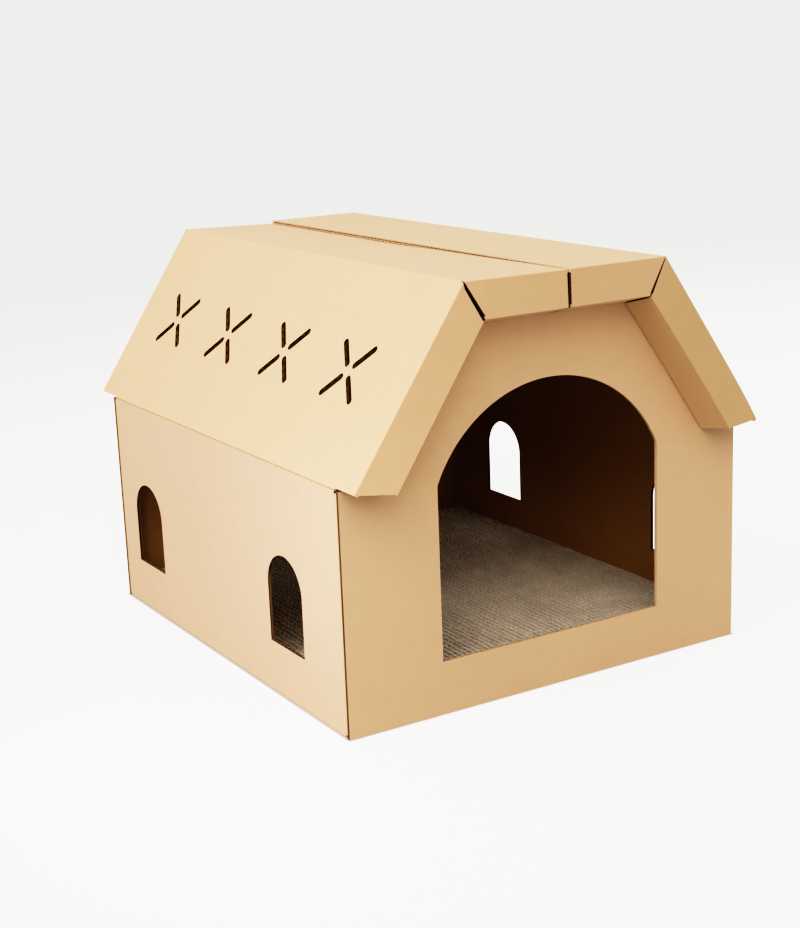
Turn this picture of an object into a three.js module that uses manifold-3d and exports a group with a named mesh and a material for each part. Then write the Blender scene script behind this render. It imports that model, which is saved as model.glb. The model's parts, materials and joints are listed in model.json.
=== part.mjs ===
// A cat house folded from corrugated board, as a flat-packed carton is. Millimetres, z up, the front
// towards -y, the origin on the ground under the middle.
//
// Two long sheets make the sides. Each runs from the middle of the floor up a side wall, up a roof
// slope and over to the ridge, and folds along a crease between one panel and the next. Past the
// front and back walls, the edge of the roof is folded down into a fascia and back into a soffit, so
// that the overhang is a hollow rim. Two gables close the ends, and a corrugated scratch pad covers
// the floor.

import * as THREE from 'three';
import { mergeVertices } from 'three/addons/utils/BufferGeometryUtils.js';
import Module from 'manifold-3d';

// Board
const boardThickness = 3;
const creaseGap = 0.3; // left open between two panels of one sheet along their crease
const seatGap = 0.3; // between pieces that rest on each other or are glued face to face

// Body
const bodyWidth = 400;
const bodyDepth = 450; // from the front face to the back face
const eaveHeight = 205; // the crease between a side wall and its roof slope
const floorSeam = 1; // between the two halves of the floor
const endFlapWidth = 45; // the glued flap that a side wall folds behind each gable
const endFlapSetback = 6; // of an end flap's ends from the floor and from the eave
const endFlapTaper = 14; // by which an end flap is shorter at each end of its free edge

// Roof
const shoulderHeight = 357.5; // the crease between a roof slope and its top panel
const shoulderWidth = 195; // between the two shoulder creases
const ridgeGap = 1; // between the two top panels
const overhang = 30; // of the roof past the front and the back
const eaveRelief = 1.6; // by which the overhang's lower edge is cut above the eave crease

// Rim of the overhang
const fasciaDepth = 31;
const fasciaEndRun = 16.5; // by which a fascia's lower end is cut back over its depth
const leftMitreGap = 2.6; // between a slope's fascia and a top panel's, at their fold
const rightMitreGap = 0.8;
const leftMitreShift = 1.1; // of the gap at the fold, from the shoulder towards the slope
const rightMitreShift = 0;
const mitreSpread = 1.4; // by which a mitre is wider at the fascias' lower edges
const fasciaGapAtRidge = 2.2; // between the fascias of the two halves, at their fold
const fasciaGapAtEdge = 3.2; // the same at the fascias' lower edges
const soffitFold = THREE.MathUtils.degToRad(75); // a little open, until its edge meets the gable

// Doorway in the front gable
const doorWidth = 223;
const doorShift = 1.2; // of the doorway's middle to the right
const doorSill = 45.5;
const doorJamb = 148; // height of the straight sides
const doorRise = 73; // height of the arch above them

// Windows, two in each side wall, each with a half-round head
const windowWidth = 60;
const windowJamb = 51.5;
const leftWindowSill = 46.5;
const leftFrontWindowInset = 100; // from the front face to the window's middle
const leftBackWindowInset = 68; // from the back face to the window's middle
const rightWindowSill = 54;
const rightFrontWindowInset = 79.5;
const rightBackWindowInset = 96;

// Air vents in each roof slope: crosses of four slots in a row along the house
const ventCount = 4;
const ventPitch = 110;
const ventRowShift = 7.5; // of the row, towards the back on the left and the front on the right
const ventSlotWidth = 6;
const ventSlotStart = 5.3; // from the cross's middle to the near end of a slot
const ventSlotEnd = 35.3;

// Scratch pad: strips of coarse board on edge, side by side
const padThickness = 20;
const padClearance = 0.5; // to the walls round it
const padStripPitch = 5.45; // from one strip's liner to the next
const padLinerWidth = 1.3; // of the two glued liners that stand between the strips
const padFluteDrop = 1.5; // by which the flutes lie below the liners at the top

// Punched openings
const archDivisions = 24;
const ventEndDivisions = 3;
const punchOverrun = 1; // past each face of the board

// Worked out
const straightCut = 0; // the fold of an edge that is cut, not creased
const squareFold = Math.PI / 2;
const roofRise = shoulderHeight - eaveHeight;
const roofRun = (bodyWidth - shoulderWidth) / 2;
const slopeAngle = Math.atan2(roofRise, roofRun);
const slopeLength = Math.hypot(roofRise, roofRun);
const eaveFold = squareFold - slopeAngle;
const shoulderFold = slopeAngle;
const topLength = shoulderWidth / 2;
const roofLength = bodyDepth + 2 * overhang;
const wallLength = bodyDepth - 2 * (boardThickness + seatGap);
const soffitReach = overhang - seatGap - boardThickness * Math.cos(soffitFold);
const soffitWidth = soffitReach / Math.sin(soffitFold);

const wasm = await Module();
wasm.setup();

const kraft = new THREE.MeshStandardMaterial({ color: 0xd9b98c, roughness: 0.85, metalness: 0 });
const padBoard = new THREE.MeshStandardMaterial({ color: 0x9c8873, roughness: 0.95, metalness: 0 });

// A corner of a panel's outline. The outline runs anticlockwise as seen from the outer face, and
// fold is the angle by which the board folds along the edge that leaves the corner.
function corner(x, y, fold = straightCut) {
  return { x, y, fold };
}

function mirrored(corners) {
  const flipped = corners.map((point, i) => corner(-point.x, point.y, corners.at(i - 1).fold));
  return flipped.reverse();
}

function crossing(a, b) {
  const step = b.point.clone().sub(a.point).cross(b.along) / a.along.cross(b.along);
  return a.point.clone().addScaledVector(a.along, step);
}

// The outline at a depth below the outer face. A cut edge is square to the board. A creased edge is
// drawn in by half the gap, and bevelled by half the fold, so that two folded panels meet in a mitre
// and turn freely about the crease on their outer faces.
function outlineAtDepth(corners, depth) {
  const edges = corners.map((from, i) => {
    const to = corners[(i + 1) % corners.length];
    const along = new THREE.Vector2(to.x - from.x, to.y - from.y).normalize();
    const inward = new THREE.Vector2(-along.y, along.x);
    const bevel = from.fold / 2;
    const gap = from.fold === straightCut ? 0 : creaseGap / 2 / Math.cos(bevel);
    const point = new THREE.Vector2(from.x, from.y);
    point.addScaledVector(inward, gap + depth * Math.tan(bevel));
    return { point, along };
  });
  return edges.map((edge, i) => crossing(edges.at(i - 1), edge));
}

// A flat panel of board: its outer face at z = 0, its inner face one thickness below.
function panelGeometry(corners) {
  const outer = outlineAtDepth(corners, 0);
  const inner = outlineAtDepth(corners, boardThickness);
  const count = corners.length;
  const positions = outer.flatMap((p) => [p.x, p.y, 0]);
  positions.push(...inner.flatMap((p) => [p.x, p.y, -boardThickness]));
  const indices = THREE.ShapeUtils.triangulateShape(outer, []).flat();
  for (const triangle of THREE.ShapeUtils.triangulateShape(inner, [])) {
    indices.push(...triangle.map((index) => count + index).reverse());
  }
  for (let here = 0; here < count; here++) {
    const next = (here + 1) % count;
    indices.push(here, count + here, next);
    indices.push(next, count + here, count + next);
  }
  return geometryOf(positions, indices);
}

function geometryOf(positions, indices) {
  const geometry = new THREE.BufferGeometry();
  geometry.setAttribute('position', new THREE.Float32BufferAttribute(positions, 3));
  geometry.setIndex(indices);
  geometry.computeVertexNormals();
  return geometry;
}

function solidOf(geometry) {
  const bare = geometry.clone();
  bare.deleteAttribute('normal');
  bare.deleteAttribute('uv');
  const merged = mergeVertices(bare);
  const vertProperties = new Float32Array(merged.attributes.position.array);
  const triVerts = new Uint32Array(merged.index.array);
  return new wasm.Manifold(new wasm.Mesh({ numProp: 3, vertProperties, triVerts }));
}

// Punches holes of the given outlines square through a panel.
function punched(geometry, holes) {
  const depth = boardThickness + 2 * punchOverrun;
  let solid = solidOf(geometry);
  for (const hole of holes) {
    const punch = new THREE.ExtrudeGeometry(hole, { depth, bevelEnabled: false, curveSegments: 1 });
    punch.translate(0, 0, -boardThickness - punchOverrun);
    solid = solid.subtract(solidOf(punch));
  }
  const { vertProperties, triVerts } = solid.getMesh();
  return geometryOf([...vertProperties], [...triVerts]);
}

function addPanel(frame, name, corners, holes = []) {
  const board = panelGeometry(corners);
  const mesh = new THREE.Mesh(holes.length > 0 ? punched(board, holes) : board, kraft);
  mesh.name = name;
  frame.add(mesh);
}

// The frame of a panel that folds inwards from its parent along a crease through (x, y): its x runs
// along the crease, its y away from the parent and its z out of the outer face.
function foldedFrame(parent, x, y, turn, fold) {
  const edge = new THREE.Group();
  edge.position.set(x, y, 0);
  edge.rotation.z = turn;
  const frame = new THREE.Group();
  frame.rotation.x = -fold;
  edge.add(frame);
  parent.add(edge);
  return frame;
}

function archedOpening(middle, sill, width, jamb, rise) {
  const halfWidth = width / 2;
  const radius = (halfWidth ** 2 + rise ** 2) / (2 * rise);
  const centre = sill + jamb + rise - radius;
  const springAngle = Math.atan2(radius - rise, halfWidth);
  const outline = new THREE.Shape();
  outline.moveTo(middle - halfWidth, sill);
  outline.lineTo(middle + halfWidth, sill);
  outline.absarc(middle, centre, radius, springAngle, Math.PI - springAngle, false);
  return new THREE.Shape(outline.getPoints(archDivisions));
}

function gable(name, turn, holes) {
  const frame = new THREE.Group();
  frame.rotation.set(squareFold, 0, turn, 'ZXY');
  const face = new THREE.Group();
  face.position.z = bodyDepth / 2;
  const roofOffset = boardThickness + seatGap;
  const topX = shoulderWidth / 2 - roofOffset * Math.tan(shoulderFold / 2);
  const topZ = shoulderHeight - roofOffset;
  const reliefRise = eaveRelief * Math.sin(slopeAngle);
  const earZ = eaveHeight + reliefRise - boardThickness * Math.cos(slopeAngle) - seatGap;
  const earX = topX + (topZ - earZ) / Math.tan(slopeAngle);
  const half = bodyWidth / 2;
  const corners = [
    corner(-half, 0),
    corner(half, 0),
    corner(half, earZ),
    corner(earX, earZ),
    corner(topX, topZ),
    corner(-topX, topZ),
    corner(-earX, earZ),
    corner(-half, earZ),
  ];
  addPanel(face, name, corners, holes);
  frame.add(face);
  return frame;
}

function addWall(frame, sheet) {
  const half = wallLength / 2;
  const corners = [
    corner(-half, 0, squareFold),
    corner(half, 0, squareFold),
    corner(half, eaveHeight, eaveFold),
    corner(-half, eaveHeight, squareFold),
  ];
  const middles = [bodyDepth / 2 - sheet.rightWindowInset, sheet.leftWindowInset - bodyDepth / 2];
  const window = (x) => archedOpening(x, sheet.windowSill, windowWidth, windowJamb, windowWidth / 2);
  addPanel(frame, `${sheet.side}_wall`, corners, middles.map(window));
}

function addHalfFloor(frame, sheet) {
  const half = wallLength / 2;
  const reach = (bodyWidth - floorSeam) / 2;
  const corners = [
    corner(-half, 0, squareFold),
    corner(half, 0),
    corner(half, reach),
    corner(-half, reach),
  ];
  addPanel(frame, `${sheet.side}_floor`, corners);
}

function addEndFlap(frame, name) {
  const half = eaveHeight / 2 - endFlapSetback;
  const corners = [
    corner(-half, 0, squareFold),
    corner(half, 0),
    corner(half - endFlapTaper, endFlapWidth),
    corner(endFlapTaper - half, endFlapWidth),
  ];
  addPanel(frame, name, corners);
}

function ventSlot(x, y, angle) {
  const radius = ventSlotWidth / 2;
  const near = new THREE.Vector2(ventSlotStart + radius, 0).rotateAround(new THREE.Vector2(), angle);
  const far = new THREE.Vector2(ventSlotEnd - radius, 0).rotateAround(new THREE.Vector2(), angle);
  const outline = new THREE.Shape();
  outline.absarc(x + far.x, y + far.y, radius, angle - squareFold, angle + squareFold, false);
  outline.absarc(x + near.x, y + near.y, radius, angle + squareFold, angle + 3 * squareFold, false);
  return new THREE.Shape(outline.getPoints(ventEndDivisions));
}

function ventSlots() {
  const slots = [];
  for (let i = 0; i < ventCount; i++) {
    const x = (i - (ventCount - 1) / 2) * ventPitch - ventRowShift;
    for (let arm = 0; arm < 4; arm++) {
      slots.push(ventSlot(x, slopeLength / 2, (arm + 1 / 2) * squareFold));
    }
  }
  return slots;
}

function addSlope(frame, sheet) {
  const end = roofLength / 2;
  const creaseEnd = wallLength / 2;
  const corners = [
    corner(-end, eaveRelief),
    corner(-creaseEnd, eaveRelief),
    corner(-creaseEnd, 0, eaveFold),
    corner(creaseEnd, 0),
    corner(creaseEnd, eaveRelief),
    corner(end, eaveRelief, squareFold),
    corner(end, slopeLength, shoulderFold),
    corner(-end, slopeLength, squareFold),
  ];
  addPanel(frame, `${sheet.side}_slope_panel`, corners, ventSlots());
}

function addTop(frame, sheet) {
  const end = roofLength / 2;
  const reach = topLength - ridgeGap / 2;
  const corners = [
    corner(-end, 0, shoulderFold),
    corner(end, 0, squareFold),
    corner(end, reach),
    corner(-end, reach, squareFold),
  ];
  addPanel(frame, `${sheet.side}_top_panel`, corners);
}

// Where a rim panel's mitred end lies, measured along the rim from the shoulder, at a depth below
// the roof's outer face.
function mitreAt(depth, gap) {
  const bevel = shoulderFold / 2;
  return depth * Math.tan(bevel) + gap / 2 / Math.cos(bevel);
}

// A fascia and its soffit, drawn from the shoulder along the rim. foldEnd is the far end at the
// fascia's fold, edgeEnd at its lower edge and along the soffit.
function rimCorners(foldEnd, edgeEnd, mitreGap, mitreShift) {
  const soffitDepth = fasciaDepth + soffitWidth * Math.cos(soffitFold);
  const mitreGapAtEdge = mitreGap + mitreSpread;
  const fascia = [
    corner(mitreAt(0, mitreGap + 2 * mitreShift), 0, squareFold),
    corner(foldEnd, 0),
    corner(edgeEnd, fasciaDepth, soffitFold),
    corner(mitreAt(fasciaDepth, mitreGapAtEdge), fasciaDepth),
  ];
  const soffit = [
    corner(mitreAt(fasciaDepth, mitreGapAtEdge), 0, soffitFold),
    corner(edgeEnd, 0),
    corner(edgeEnd, soffitWidth),
    corner(mitreAt(soffitDepth, mitreGapAtEdge), soffitWidth),
  ];
  return { fascia, soffit };
}

// The rim at one end of a roof panel, whose shoulder is at y in the panel's frame. end is 1 at the
// end towards the panel's +x and -1 at the other; way says to which side of the shoulder it runs.
function addRim(panelFrame, y, end, way, name, corners) {
  const turn = -end * squareFold;
  const drawn = (outline) => (way > 0 ? outline : mirrored(outline));
  const fasciaFrame = foldedFrame(panelFrame, end * roofLength / 2, y, turn, squareFold);
  addPanel(fasciaFrame, `${name}_fascia`, drawn(corners.fascia));
  const soffitFrame = foldedFrame(fasciaFrame, 0, fasciaDepth, 0, soffitFold);
  addPanel(soffitFrame, `${name}_soffit`, drawn(corners.soffit));
}

function sideSheet(sheet) {
  const wall = new THREE.Group();
  wall.rotation.set(squareFold, 0, sheet.turn - squareFold, 'ZXY');
  const wallFace = new THREE.Group();
  wallFace.position.z = bodyWidth / 2;
  wall.add(wallFace);
  addWall(wallFace, sheet);
  addHalfFloor(foldedFrame(wallFace, 0, 0, Math.PI, squareFold), sheet);

  const slope = foldedFrame(wallFace, 0, eaveHeight, 0, eaveFold);
  addSlope(slope, sheet);
  const top = foldedFrame(slope, 0, slopeLength, 0, shoulderFold);
  addTop(top, sheet);

  const slopeFold = slopeLength - eaveRelief;
  const { mitreGap, mitreShift } = sheet;
  const slopeRim = rimCorners(slopeFold, slopeFold - fasciaEndRun, mitreGap, mitreShift);
  const topFold = topLength - fasciaGapAtRidge / 2;
  const topRim = rimCorners(topFold, topLength - fasciaGapAtEdge / 2, mitreGap, -mitreShift);
  for (const [end, where] of [[1, sheet.rightEnd], [-1, sheet.leftEnd]]) {
    const name = `${sheet.side}_${where}`;
    const flap = foldedFrame(wallFace, end * wallLength / 2, eaveHeight / 2, -end * squareFold, squareFold);
    addEndFlap(flap, `${name}_end_flap`);
    addRim(slope, slopeLength, end, end, `${name}_slope`, slopeRim);
    addRim(top, 0, end, -end, `${name}_top`, topRim);
  }
  return wall;
}

// A comb profile drawn out along the length of the house: the liners between the strips stand a
// little above the flutes, and the outermost ones fill the width that is left.
function scratchPad() {
  const width = bodyWidth - 2 * (boardThickness + padClearance);
  const length = wallLength - 2 * (boardThickness + padClearance);
  const strips = Math.max(1, Math.floor((width - padLinerWidth) / padStripPitch));
  const fluteWidth = padStripPitch - padLinerWidth;
  const fluteTop = padThickness - padFluteDrop;
  const profile = new THREE.Shape();
  profile.moveTo(-width / 2, 0);
  profile.lineTo(width / 2, 0);
  profile.lineTo(width / 2, padThickness);
  for (let i = 0; i < strips; i++) {
    const middle = ((strips - 1) / 2 - i) * padStripPitch;
    profile.lineTo(middle + fluteWidth / 2, padThickness);
    profile.lineTo(middle + fluteWidth / 2, fluteTop);
    profile.lineTo(middle - fluteWidth / 2, fluteTop);
    profile.lineTo(middle - fluteWidth / 2, padThickness);
  }
  profile.lineTo(-width / 2, padThickness);
  const geometry = new THREE.ExtrudeGeometry(profile, { depth: length, bevelEnabled: false });
  const mesh = new THREE.Mesh(geometry, padBoard);
  mesh.name = 'scratch_pad';
  mesh.rotation.x = squareFold;
  mesh.position.set(0, length / 2, boardThickness + seatGap);
  return mesh;
}

// The right sheet is turned half round, so the end on the right of its outer face is at the back.
const leftSheet = {
  side: 'left',
  turn: 0,
  rightEnd: 'front',
  leftEnd: 'back',
  mitreGap: leftMitreGap,
  mitreShift: leftMitreShift,
  windowSill: leftWindowSill,
  rightWindowInset: leftFrontWindowInset,
  leftWindowInset: leftBackWindowInset,
};
const rightSheet = {
  side: 'right',
  turn: Math.PI,
  rightEnd: 'back',
  leftEnd: 'front',
  mitreGap: rightMitreGap,
  mitreShift: rightMitreShift,
  windowSill: rightWindowSill,
  rightWindowInset: rightBackWindowInset,
  leftWindowInset: rightFrontWindowInset,
};

const doorway = archedOpening(doorShift, doorSill, doorWidth, doorJamb, doorRise);

const catHouse = new THREE.Group();
catHouse.add(gable('front_wall', 0, [doorway]));
catHouse.add(gable('back_wall', Math.PI, []));
catHouse.add(sideSheet(leftSheet));
catHouse.add(sideSheet(rightSheet));
catHouse.add(scratchPad());

export default catHouse;
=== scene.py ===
import json
import math

import bmesh
import bpy
import numpy as np
from mathutils import Matrix, Vector
from mathutils.geometry import delaunay_2d_cdt

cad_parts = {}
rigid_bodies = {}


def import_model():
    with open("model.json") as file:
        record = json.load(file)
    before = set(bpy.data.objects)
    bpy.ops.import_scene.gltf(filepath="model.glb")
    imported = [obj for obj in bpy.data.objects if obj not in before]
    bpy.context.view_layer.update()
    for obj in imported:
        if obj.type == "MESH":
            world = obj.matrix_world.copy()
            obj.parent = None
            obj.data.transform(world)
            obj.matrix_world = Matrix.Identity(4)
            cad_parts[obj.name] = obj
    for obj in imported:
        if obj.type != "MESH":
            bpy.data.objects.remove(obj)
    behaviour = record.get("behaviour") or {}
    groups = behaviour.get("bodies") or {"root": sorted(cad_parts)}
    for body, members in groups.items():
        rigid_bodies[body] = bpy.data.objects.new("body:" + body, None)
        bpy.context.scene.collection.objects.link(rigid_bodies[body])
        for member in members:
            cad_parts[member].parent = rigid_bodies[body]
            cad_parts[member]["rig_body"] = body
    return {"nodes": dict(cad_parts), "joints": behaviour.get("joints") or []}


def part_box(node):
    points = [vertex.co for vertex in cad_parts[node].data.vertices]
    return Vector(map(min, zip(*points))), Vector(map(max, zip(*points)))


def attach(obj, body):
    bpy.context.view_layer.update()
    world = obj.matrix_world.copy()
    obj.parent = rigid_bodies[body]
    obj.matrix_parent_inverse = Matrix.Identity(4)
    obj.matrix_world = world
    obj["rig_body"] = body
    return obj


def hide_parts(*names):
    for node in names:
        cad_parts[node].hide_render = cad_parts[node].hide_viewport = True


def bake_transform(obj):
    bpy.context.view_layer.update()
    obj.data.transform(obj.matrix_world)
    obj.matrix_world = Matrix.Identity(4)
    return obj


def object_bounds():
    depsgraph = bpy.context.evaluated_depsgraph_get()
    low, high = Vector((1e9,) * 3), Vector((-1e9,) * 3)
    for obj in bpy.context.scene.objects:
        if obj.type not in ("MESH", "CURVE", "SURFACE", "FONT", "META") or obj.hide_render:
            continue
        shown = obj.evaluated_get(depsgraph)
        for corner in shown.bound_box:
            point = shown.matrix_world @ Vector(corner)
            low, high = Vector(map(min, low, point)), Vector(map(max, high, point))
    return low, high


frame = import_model()
cad_bounds = [list(corner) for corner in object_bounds()]

# Units, in metres and radians, and directions
MM = 0.001
DEG = math.pi / 180
TURN = 2 * math.pi
RIGHT = Vector((1, 0, 0))
DEEP = Vector((0, 1, 0))
UP = Vector((0, 0, 1))


def hinge_place(name):
    """The x, y and z of a hinge at rest."""
    return next(joint["pos_m"] for joint in frame["joints"] if joint["name"] == name)


# Names of the gables and of the parts of a rim
GABLES = ("front_wall", "back_wall")
RIM_PARTS = ("_fascia", "_soffit")

# Sizes of the house, read from the frame
EAVE_X, _, EAVE_Z = hinge_place("right_eave")
SHOULDER_X, _, SHOULDER_Z = hinge_place("right_shoulder")
SLOPE_RUN = EAVE_X - SHOULDER_X
SLOPE_DROP = SHOULDER_Z - EAVE_Z
SLOPE_LENGTH = math.hypot(SLOPE_RUN, SLOPE_DROP)
_, RIM_FRONT, RIM_TOP = hinge_place("right_front_top_fascia_fold")
_, _, RIM_BOTTOM = hinge_place("right_front_top_soffit_fold")
RIM_DEPTH = RIM_TOP - RIM_BOTTOM
GABLE_LOW, GABLE_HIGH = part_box("front_wall")
TOP_LOW, TOP_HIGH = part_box("right_top_panel")
BOARD_DEPTH = TOP_HIGH.z - TOP_LOW.z
HOUSE_MIDDLE = sum((Vector(corner) for corner in cad_bounds), Vector()) / 2

# Camera of the photograph
CAMERA_PLACE = Vector((-789.3, -1304.5, 542.3)) * MM
CAMERA_AZIMUTH = -30.876 * DEG
CAMERA_ELEVATION = 14.488 * DEG
CAMERA_ROLL = -2.246 * DEG
CAMERA_LENS_MM = 64.93
CAMERA_SENSOR_MM = 36

# Tone curve of the print
GRADE_CURVE = 3  # the curve that all three colours share
GRADE_RANGE = 2
GRADE_MIDDLE = 0.3
GRADE_CONTRAST = 2
GRADE_SHARES = (0.01, 0.02, 0.035, 0.055, 0.08, 0.11, 0.15, 0.2, 0.28, 0.4, 0.55, 0.75)

# Corrugated board
LINER = 0.35 * MM
PRESSED_LINER = 0.9 * MM  # where the cut edge of the board is pressed shut
FLUTE_SHEET = 0.2 * MM
FLUTE_PITCH = 6.5 * MM
FLUTE_SAMPLES = 8
FLUTE_REACH = 14 * MM  # how far in from an edge the flutes are drawn
FLUTE_STEP = 14 * MM
LINER_GRID = 22 * MM
RIM_GRID = 7 * MM
GABLE_EDGE = 10 * MM  # how far in from a gable's sides its cut edges get the corner's painted shade

# Creases
CREASE_SEGMENTS = 8
CREASE_RADIUS = 1.3 * MM
RIM_CREASE_RADIUS = 0.8 * MM
CREASE_GAP = 0.15 * MM  # what is left free on each side of a fold
CORNER_GROWTH = 4 * MM  # how far a corner's crease runs past the edges of its end flap
GROOVE_DEPTH = 1.1 * MM
MITRE_CLOSING_SHARE = 1.0  # of the board's thickness below the shoulder, over which a mitre closes

# Bend of the real board
SAG_PLACES = (RIM_FRONT, 0, -RIM_FRONT)
SAGS = (0.6 * MM, 3.2 * MM, 3.0 * MM)  # at these places along the ridge
SAG_TOP = 5.5 * MM  # the depth below the top from which the sag fades, and the next is where it ends
SAG_BOTTOM = 35.5 * MM
BEND_START = GABLE_LOW.y - 1 * MM  # where the overhang begins to bend
SOFFIT_GAP = 0.3 * MM  # between a soffit and its gable
SOFFIT_END = GABLE_LOW.y - SOFFIT_GAP / 2
LEFT_RIM_DRAWN = (2 * MM, 3.2 * MM, 6.8 * MM)  # at the ridge, the shoulder and the eave
RIGHT_RIM_FLARE = 2.6 * MM
RIGHT_SOFFIT_FLARE = 4 * MM
FLARE_POWER = 8

# Reading and cutting of meshes
MERGE_DECIMALS = 6
SAME_PLANE = 0.02 * MM
SAME_AREA_SHARE = 1e-4
SAME_WAY = 1 - 1e-4  # the least cosine between two parallel edges
OPPOSITE_WAY = -1 + 2e-5  # the greatest cosine between two faces that look away from each other
SHORT_EDGE = 1 * MM
CUTTING_TOLERANCE = 0.0001 * MM

# Scratch pad
PAD_SEED = 5
PAD_STRIP_PITCH = 5.45 * MM
PAD_FLUTE_PITCH = 7.6 * MM
PAD_FLUTE_SAMPLES = 6
PAD_LINER = 1.1 * MM
PAD_LINER_STEP = 12 * MM
PAD_FLUTE_SHEET = 0.7 * MM
PAD_FLUTE_DROP = 0.2 * MM  # how far below the top of the pad the waved sheets end at least
PAD_EDGE_LINER = 1.3 * MM
PAD_CELL_DEPTH = 7 * MM
PAD_RAGGED = 0.8 * MM

# Kraft paper: four noises, with their patches to the metre as the scale, and their shares in the tone
CLOUDS = {"scale": 7, "detail": 2, "roughness": 0.5}
MOTTLE = {"scale": 70, "detail": 5, "roughness": 0.6}
FIBRES = {"scale": 1, "detail": 3, "roughness": 0.6}
GRAIN = {"scale": 1400, "detail": 2, "roughness": 0.5}
FIBRE_STRETCH = (1100, 160, 300)  # fibres to the metre along the flutes, across them and in depth
CLOUD_SHARE = 0.35
MOTTLE_SHARE = 0.3
FIBRE_SHARE = 0.1
GRAIN_SHARE = 0.25
KRAFT_TONE_SHARES = (0.33, 0.67)  # of the noise, from the dark to the light tone
KRAFT_ROUGHNESS = 0.8
KRAFT_SPECULAR = 0.5
KRAFT_SHEEN = 0.1
KRAFT_SHEEN_ROUGHNESS = 0.5
KRAFT_BUMP = 1
KRAFT_BUMP_DEPTH = 1 * MM
WASHBOARD_SHARE = 0.008  # of the bump's depth, as are the next two
FIBRE_BUMP_SHARE = 0.02
MOTTLE_BUMP_SHARE = 0.08

# Cut or bare corrugating paper: a fine noise and a coarse one
CUT_PAPER_SCALE = 400
PAD_PAPER_SCALE = 300
PAPER_FINE = {"detail": 4, "roughness": 0.6}
PAPER_COARSE = {"detail": 3, "roughness": 0.5}
PAPER_COARSE_RATIO = 12
PAPER_FINE_SHARE = 0.5
PAPER_TONE_SHARES = (0.35, 0.65)
PAPER_ROUGHNESS = 0.95
PAPER_SPECULAR = 0.2
PAPER_BUMP = 0.6
PAPER_BUMP_DEPTH = 0.1 * MM

# Light and dark tone of each paper
KRAFT_TONES = {
    "kraft_outer": ((0.69, 0.43, 0.255), (0.63, 0.385, 0.225)),
    # the walls' tone is a lighter, cooler copy of the outer kraft: painted light on the walls
    "kraft_walls": ((0.72, 0.45, 0.295), (0.66, 0.405, 0.26)),
    # the gables' tone is a lighter, cooler copy of the outer kraft: painted light on the gables
    "kraft_gables": ((0.725, 0.46, 0.285), (0.665, 0.415, 0.253)),
    # the right slope's rim is a darker copy of the outer kraft: painted shade for the light falling off to
    # the right
    "kraft_right_rim": ((0.62, 0.395, 0.22), (0.565, 0.355, 0.195)),
    # the inner face is much darker than the outer: painted shade for the dark inside of the house
    "kraft_inner": ((0.48, 0.275, 0.11), (0.42, 0.235, 0.09)),
}
CUT_PAPER_TONES = {
    # the cut paper is much darker than the paper itself: painted shade in the hollows of the flutes and in
    # the vents
    "cut_paper": ((0.2, 0.12, 0.07), (0.13, 0.08, 0.045)),
    # a lighter copy of the cut paper: painted light on cut edges that face the light, at the ridge and the
    # doorway
    "cut_paper_light": ((0.62, 0.42, 0.27), (0.5, 0.33, 0.2)),
}
# The pad's tones are raised above the paper's own: painted light for the light that falls in through the
# doorway
PAD_PAPER_TONES = {
    "pad_liner": ((0.92, 0.82, 0.70), (0.74, 0.65, 0.55)),
    "pad_flutes": ((0.86, 0.76, 0.65), (0.68, 0.59, 0.50)),
    "pad_base": ((0.50, 0.42, 0.34), (0.36, 0.30, 0.24)),
}

# Studio. The floor's glow is painted light. It is brightest round one place and fades from the first
# reach to the second.
FLOOR_HALF_SIZE = 30000 * MM
FLOOR_BOUNCE = (0.42, 0.42, 0.42)
FLOOR_TONE = (0.5, 0.5, 0.495)
FLOOR_GLOW = (0.34, 0.34, 0.335)
FLOOR_GLOW_NEAR = (0.62, 0.62, 0.61)
FLOOR_GLOW_MIDDLE = Vector((900, -500, 0)) * MM
FLOOR_GLOW_REACH = (700 * MM, 2800 * MM)
FLOOR_CONTACT = (0.2, 0.2, 0.22)  # the floor's tone in the line of shade at the foot of the walls
CONTACT_REACH = 3 * MM
CONTACT_SHARE = 0.25  # of the floor's brightening that is left at the foot of the walls, as painted shade
FOOT = (GABLE_HIGH.x, -GABLE_LOW.y, 0)
BACKDROP_TONE = (0.68, 0.68, 0.67)
WORLD_TINT = (1, 1.03, 0.97)
WORLD_STRENGTH = 0.5

# Lamps. A softbox has its place, target and size in millimetres and its power in watts, and a distant
# lamp has its azimuth, elevation and spread in degrees.
KEY_LIGHT = {"place": (-1200, -300, 1300), "target": (0, -100, 150), "size": 800, "power": 9,
             "colour": (1, 0.99, 1.01)}
FRONT_LIGHT = {"azimuth": -34, "elevation": 47, "spread": 45, "strength": 0.75,
               "colour": (1.02, 0.95, 0.9)}
LEFT_LIGHT = {"azimuth": -95, "elevation": 8, "spread": 80, "strength": 0.15, "colour": (1, 1, 1.3)}
CORNER_LIGHT = {"place": (-450, -235, 180), "target": (-200, -215, 120), "size": 120, "power": 0.18,
                "colour": (1, 0.98, 1.04)}


# Bend of the board
def smooth(values, low, high):
    """0 at low and beyond, 1 at high and beyond, with soft ends."""
    share = np.clip((values - low) / (high - low), 0, 1)
    return share * share * (3 - 2 * share)


def roof_place(x, z):
    """How deep points lie under the roof, and how far down it they are, with the ridge at -1, the
    shoulder at 0 and the eave at 1."""
    out = np.abs(x) - SHOULDER_X
    down = SHOULDER_Z - z
    under_slope = (down * SLOPE_RUN - out * SLOPE_DROP) / SLOPE_LENGTH
    depth = np.minimum(down, under_slope)
    along = (out * SLOPE_RUN + down * SLOPE_DROP) / SLOPE_LENGTH ** 2
    return depth, np.where(down < under_slope, np.abs(x) / SHOULDER_X - 1, along)


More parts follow.
